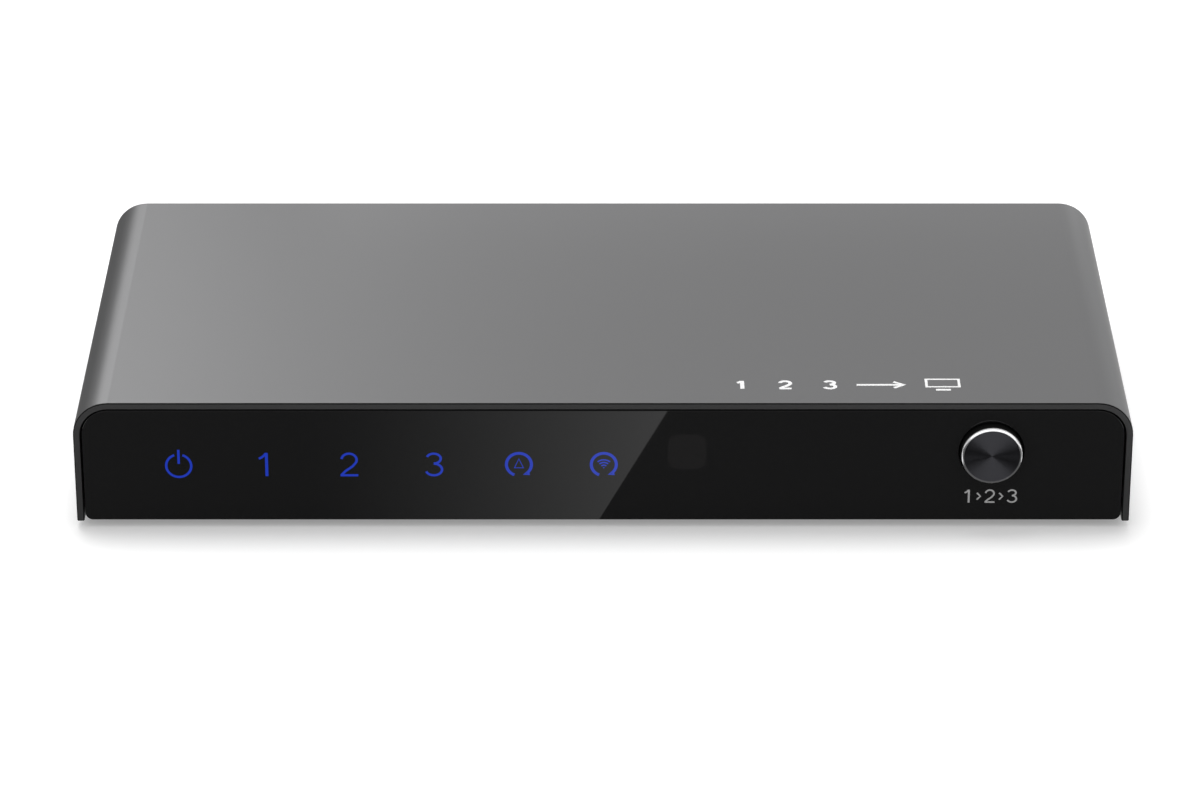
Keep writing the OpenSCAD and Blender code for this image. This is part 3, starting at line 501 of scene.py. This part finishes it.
# Label under the button
# Grey screen print on the panel: the input numbers in turn, with a small pointer between them, because
# each press moves on to the next input.
grey_ink = finish("grey_ink", (0.43, 0.43, 0.43), 0.5, spread=0.08, bump=0.05)
cap_low, cap_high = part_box("button_cap")
cap_at = (cap_low + cap_high) / 2
label_h = 1.95 * mm
label_foot = 3.75 * mm
label_pitch = 3.0 * mm
label_stroke = 0.23 * mm
pointer_half = 0.24 * mm
pointer_z = 4.7 * mm
pointer_rise = 0.5 * mm
label = []
for index, digit in enumerate("123", -1):
    label += shift(digits[digit], label_h, cap_at.x + index * label_pitch, label_foot)
for side in (-1, 1):
    x = cap_at.x + side * label_pitch / 2
    label.append([(x - pointer_half, pointer_z + pointer_rise), (x + pointer_half, pointer_z),
                  (x - pointer_half, pointer_z - pointer_rise)])
printed("select_label", label, label_stroke, ink_t, grey_ink, "front", (0, panel_y, 0))

# Select button
# A turned aluminium cap, black anodised with a spun face; its lip is cut bright after anodising. It stands
# a little proud of the panel, with a thin gap round it.
cap_r = (cap_high.x - cap_low.x) / 2
cap_length = cap_high.y - cap_low.y
lip = 0.38 * mm
step = 0.05 * mm
face_reach = 0.1 * mm
face_rings = (0.45, 0.25)
turned_limit = math.radians(30)
bpy.ops.object.select_all(action="DESELECT")
bpy.ops.mesh.primitive_cylinder_add(vertices=128, radius=cap_r, depth=cap_length, location=cap_at,
                                    rotation=(math.radians(90), 0, 0))
cap = bpy.context.object
cap.name = "select_cap"
bpy.ops.object.transform_apply(location=True, rotation=True)


def faces_front(face):
    return face.normal.y < -0.99 and face.center.y < cap_low.y + face_reach


pick(cap, faces_front)
bpy.ops.mesh.bevel(offset=lip, segments=5, affect="EDGES")
pick(cap, faces_front)
bpy.ops.mesh.inset(thickness=step)
bpy.ops.transform.translate(value=(0, step, 0))
for share in face_rings:
    bpy.ops.mesh.inset(thickness=cap_r * share)
bpy.ops.object.mode_set(mode="OBJECT")
bpy.ops.object.shade_smooth_by_angle(angle=turned_limit)

spun = finish("spun_black", (0.071, 0.071, 0.079), 0.42, metal=1.0, spread=0.1, bump=0.0, Anisotropic=1.0,
              Anisotropic_Rotation=0.25)
tree = spun.node_tree
round_grain = tree.nodes.new("ShaderNodeTangent")
round_grain.direction_type = "RADIAL"
round_grain.axis = "Y"
tree.links.new(round_grain.outputs[0], tree.nodes["Principled BSDF"].inputs["Tangent"])
bright_cut = finish("bright_cut", (0.78, 0.78, 0.79), 0.18, metal=1.0, spread=0.03, rough_spread=0.04,
                    bump=0.0)
# Painted shade: the cap's side, seen in the gap round it, is coloured near black with little reflection to
# draw the dark gap, unlike the anodised metal of its face.
side_painted_shade = finish("side_painted_shade", (0.006, 0.006, 0.006), 0.6, spread=0.2, Specular_IOR_Level=0.1)
for material in (spun, bright_cut, side_painted_shade):
    cap.data.materials.append(material)
for face in cap.data.polygons:
    from_middle = math.hypot(face.center.x - cap_at.x, face.center.z - cap_at.z)
    if face.center.y > cap_low.y + lip:
        face.material_index = 2
    else:
        face.material_index = int(from_middle > cap_r - lip)
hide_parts("button_cap")
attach(cap, "select_button")

# Top cover
# A U-shaped aluminium extrusion over everything, bead-blasted and grey anodised, with its cut edges
# showing round the front panel. It comes down over the carrier and board, and the base is screwed to it.
anodised = finish("grey_anodised", (0.22, 0.22, 0.223), 0.36, metal=1.0, fine=5000.0, broad=18.0,
                  spread=0.05, rough_spread=0.04, bump=0.1, Specular_Tint=(0.55, 0.55, 0.55, 1.0))
cover_edge = 0.14 * mm
cover = nodes["top_cover"]
dress(anodised, "top_cover")
soften(cover_edge, "top_cover")
# Painted shade: the cover's broken edges are coloured near black to draw the dark line along the top front
# edge, which there is a reflection of the dark surroundings and not the metal's colour; it shows on every
# broken edge.
edge_painted_shade = finish("edge_painted_shade", (0.008, 0.008, 0.008), 0.4, metal=0.9, spread=0.1)
cover.data.materials.append(edge_painted_shade)
cover.modifiers["edges"].material = 1

# Sign printed on the top
# White screen print on the cover at the front right: the three input numbers and an arrow to one screen,
# a plain outline on a short stand.
top_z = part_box("top_cover")[1].z
sign_x, sign_y = 18.5 * mm, -28.5 * mm
sign_h = 2.4 * mm
sign_pitch = 6.0 * mm
sign_stroke = 0.5 * mm
sign_t = 0.01 * mm
sign_tail, sign_tip, sign_barb, sign_spread = 15.6 * mm, 22.0 * mm, 1.4 * mm, 0.9 * mm
screen_left, screen_right = 25.0 * mm, 29.4 * mm
screen_low, screen_high = 0.6 * mm, 2.9 * mm
stand_left, stand_right, stand_y = 26.2 * mm, 28.2 * mm, -0.3 * mm
sign = []
for index, digit in enumerate("123"):
    sign += shift(digits[digit], sign_h, index * sign_pitch, 0.0)
sign += arrow(sign_tail, sign_tip, sign_h / 2, sign_barb, sign_spread)
sign.append([(screen_left, screen_low), (screen_left, screen_high), (screen_right, screen_high),
             (screen_right, screen_low), (screen_left, screen_low)])
sign.append([(stand_left, stand_y), (stand_right, stand_y)])
printed("top_sign", sign, sign_stroke, sign_t, white_ink, "top", (sign_x, sign_y, top_z))

# Studio floor, sky and lamps
# A pale floor that runs out of sight, a white sky that is brighter at the back, and two soft lamps above
# and behind the box. The floor is lifted a little where the camera or a reflection sees it.
floor_half = 6.0
floor_white = 0.85
floor_lift = 0.25
sky_turn = 0.8
sky_front, sky_back = 0.6, 0.92


def stage_plane(name, corners, material, card=True):
    """A flat part of the set; a card is seen by reflections alone."""
    bpy.ops.object.select_all(action="DESELECT")
    bpy.ops.mesh.primitive_plane_add(size=1)
    made = bpy.context.object
    made.name = name
    for vertex, corner in zip(made.data.vertices, corners):
        vertex.co = Vector(corner)
    made.data.materials.append(material)
    if card:
        made.visible_camera = made.visible_diffuse = made.visible_shadow = made.visible_transmission = False
    return made


def lying(left, right, front, back, z):
    """Corners of a level rectangle."""
    return [(left, front, z), (right, front, z), (left, back, z), (right, back, z)]


def lamp(name, at, wide, tall, power):
    """A soft rectangular lamp aimed at the box."""
    bpy.ops.object.light_add(type="AREA", location=at)
    made = bpy.context.object
    made.name = name
    made.data.shape = "RECTANGLE"
    made.data.size = wide
    made.data.size_y = tall
    made.data.energy = power
    made.rotation_euler = (-made.location).to_track_quat("-Z", "Y").to_euler()
    made.visible_camera = False
    return made


floor_paint = bpy.data.materials.new("studio_floor")
floor_paint.use_nodes = True
tree = floor_paint.node_tree
shader = tree.nodes["Principled BSDF"].inputs
shader["Base Color"].default_value = (floor_white, floor_white, floor_white, 1)
shader["Roughness"].default_value = 0.9
shader["Specular IOR Level"].default_value = 0.0
shader["Emission Color"].default_value = (1, 1, 1, 1)
path = tree.nodes.new("ShaderNodeLightPath").outputs
mirrored = maths(tree, "ADD", path["Is Glossy Ray"], path["Is Transmission Ray"], clamp=True)
seen = maths(tree, "ADD", path["Is Camera Ray"], mirrored, clamp=True)
tree.links.new(maths(tree, "MULTIPLY", seen, floor_lift), shader["Emission Strength"])
stage_plane("floor", lying(-floor_half, floor_half, -floor_half, floor_half, 0), floor_paint, card=False)

world = bpy.data.worlds.new("studio")
bpy.context.scene.world = world
world.use_nodes = True
tree = world.node_tree
sky = tree.nodes["Background"].inputs
sky["Color"].default_value = (1, 1, 1, 1)
axes = tree.nodes.new("ShaderNodeSeparateXYZ")
tree.links.new(tree.nodes.new("ShaderNodeTexCoord").outputs["Generated"], axes.inputs[0])
level = tree.nodes.new("ShaderNodeMapRange")
level.inputs["From Min"].default_value = -sky_turn
level.inputs["From Max"].default_value = sky_turn
level.inputs["To Min"].default_value = sky_front
level.inputs["To Max"].default_value = sky_back
tree.links.new(axes.outputs["Y"], level.inputs["Value"])
tree.links.new(level.outputs["Result"], sky["Strength"])

top_lamp = lamp("top_lamp", (-0.05, 0.18, 0.9), 0.4, 0.36, 4.0)
top_lamp.visible_glossy = False
lamp("back_lamp", (-0.34, 1.04, 0.58), 0.42, 0.38, 1.0)

# Cards that the front panel mirrors
# A glowing card leaning out in front of the panel's left half gives its slanted glare, which fades to the
# left. A dark card on the floor keeps the rest of the gloss black.
glare_left = -60.0 * mm
glare_foot = -0.9 * mm
glare_lean = 9.9 / 16.4
glare_rise = math.tan(math.radians(30))
glare_z = 0.2 * mm
glare_near, glare_far = 0.3 * mm, 16.2 * mm
glare_dim_x, glare_full_x = -42.0 * mm, 10.0 * mm
glare_bend = 1.6
glare_level = 0.95
front_z = 0.4 * mm
front_level = 0.112


def glow(name, strength, clear=False):
    """An emission material for a card; a clear one hides nothing behind it."""
    made = bpy.data.materials.new(name)
    made.use_nodes = True
    tree = made.node_tree
    tree.nodes.remove(tree.nodes["Principled BSDF"])
    shown = tree.nodes.new("ShaderNodeEmission")
    shown.inputs["Strength"].default_value = strength
    if clear:
        both = tree.nodes.new("ShaderNodeAddShader")
        tree.links.new(shown.outputs[0], both.inputs[0])
        tree.links.new(tree.nodes.new("ShaderNodeBsdfTransparent").outputs[0], both.inputs[1])
        shown = both
    tree.links.new(shown.outputs[0], tree.nodes["Material Output"].inputs["Surface"])
    return made


def light_only(card, *pieces):
    """Lets a card's light reach some pieces alone."""
    alone = bpy.data.collections.new(card.name + "_on")
    for piece in pieces:
        alone.objects.link(piece)
    card.light_linking.receiver_collection = alone


def on_glare(x, out):
    """A corner of the glare card, out from the panel and rising as it goes."""
    return (x, panel_y - out, glare_z + out * glare_rise)


glare = glow("glare_card", glare_level, clear=True)
tree = glare.node_tree
axes = tree.nodes.new("ShaderNodeSeparateXYZ")
tree.links.new(tree.nodes.new("ShaderNodeTexCoord").outputs["Object"], axes.inputs[0])
ramp = tree.nodes.new("ShaderNodeMapRange")
ramp.inputs["From Min"].default_value = glare_dim_x
ramp.inputs["From Max"].default_value = glare_full_x
tree.links.new(axes.outputs["X"], ramp.inputs["Value"])
fade = maths(tree, "POWER", ramp.outputs["Result"], glare_bend)
tree.links.new(maths(tree, "MULTIPLY", fade, glare_level), tree.nodes["Emission"].inputs["Strength"])
glare_card = stage_plane("glare_card", [on_glare(glare_left, glare_far),
                                        on_glare(glare_foot + glare_lean * glare_far, glare_far),
                                        on_glare(glare_left, glare_near),
                                        on_glare(glare_foot, glare_near)], glare)
light_only(glare_card, nodes["front_panel"], *signs)
stage_plane("front_card", lying(-0.11, 0.11, -0.2, -0.0325, front_z), glow("front_card", front_level))

# Cards that the button mirrors
# Four clear glowing cards whose light reaches the cap alone: a wide one stands in front for the lip, and
# three lie on the floor for the wedges of its spun face and the lower sides of the lip.
button_z = 0.6 * mm
fill_y, fill_low, fill_high = -0.334, 0.012, 0.45
button_cards = (
    ("fill_card", 1.0, [(-0.09, fill_y, fill_low), (0.4, fill_y, fill_low), (-0.8, fill_y, fill_high),
                        (1.0, fill_y, fill_high)]),
    ("low_card", 0.8, [(0.021, -0.128, button_z), (0.083, -0.078, button_z), (-0.064, -0.311, button_z),
                       (0.187, -0.099, button_z)]),
    ("left_card", 1.15, lying(-0.06, 0.038, -0.046, -0.0331, button_z)),
    ("right_card", 0.9, lying(0.069, 0.115, -0.044, -0.0332, button_z)))
for name, strength, corners in button_cards:
    light_only(stage_plane(name, corners, glow(name, strength, clear=True)), cap)

# Cards that the cover mirrors
# Two clear glowing cards stand behind the box and lift the right of the top and its right rounding. Two
# grey flags on the left, one on the floor and one rising behind, darken the left rounding and side.
back_y = 0.1
flag_level = 0.4
flag_z = 0.5 * mm
flag_front, flag_fold, flag_back = -0.033, 0.036, 0.6
flag_left, flag_near, flag_far, flag_top = -0.6, -0.0715, -0.1, 0.15


def standing(left, right, low, high):
    """Corners of an upright rectangle behind the box."""
    return [(left, back_y, low), (right, back_y, low), (left, back_y, high), (right, back_y, high)]


for name, strength, corners in (("back_card", 0.9, standing(-0.045, 0.095, 0.001, 0.043)),
                                ("edge_card", 0.5, standing(0.095, 0.165, 0.022, 0.05))):
    light_only(stage_plane(name, corners, glow(name, strength, clear=True)), cover)
flag = glow("flag_card", flag_level)
stage_plane("flag_low", lying(flag_left, flag_near, flag_front, flag_fold, flag_z), flag)
stage_plane("flag_high", [(flag_left, flag_fold, flag_z), (flag_near, flag_fold, flag_z),
                          (flag_left, flag_back, flag_top), (flag_far, flag_back, flag_top)], flag)

# Camera
# A long lens well back from the box and a little above it, aimed down at its front edge. The focal length
# is in pixels of a picture of this width.
picture_width = 1200
focal_length = 4932
sensor_width = 36.0
camera_x, camera_y, camera_z = -0.41 * mm, -623.4 * mm, 309.7 * mm
camera_dip = 26.197
camera_data = bpy.data.cameras.new("camera")
camera = bpy.data.objects.new("camera", camera_data)
bpy.context.scene.collection.objects.link(camera)
camera_data.sensor_width = sensor_width
camera_data.lens = focal_length / picture_width * sensor_width
camera_data.clip_start = 0.01
camera_data.clip_end = 30.0
camera.location = (camera_x, camera_y, camera_z)
camera.rotation_euler = (math.radians(90 - camera_dip), 0, 0)
bpy.context.scene.camera = camera
bpy.context.scene.view_settings.view_transform = "Standard"
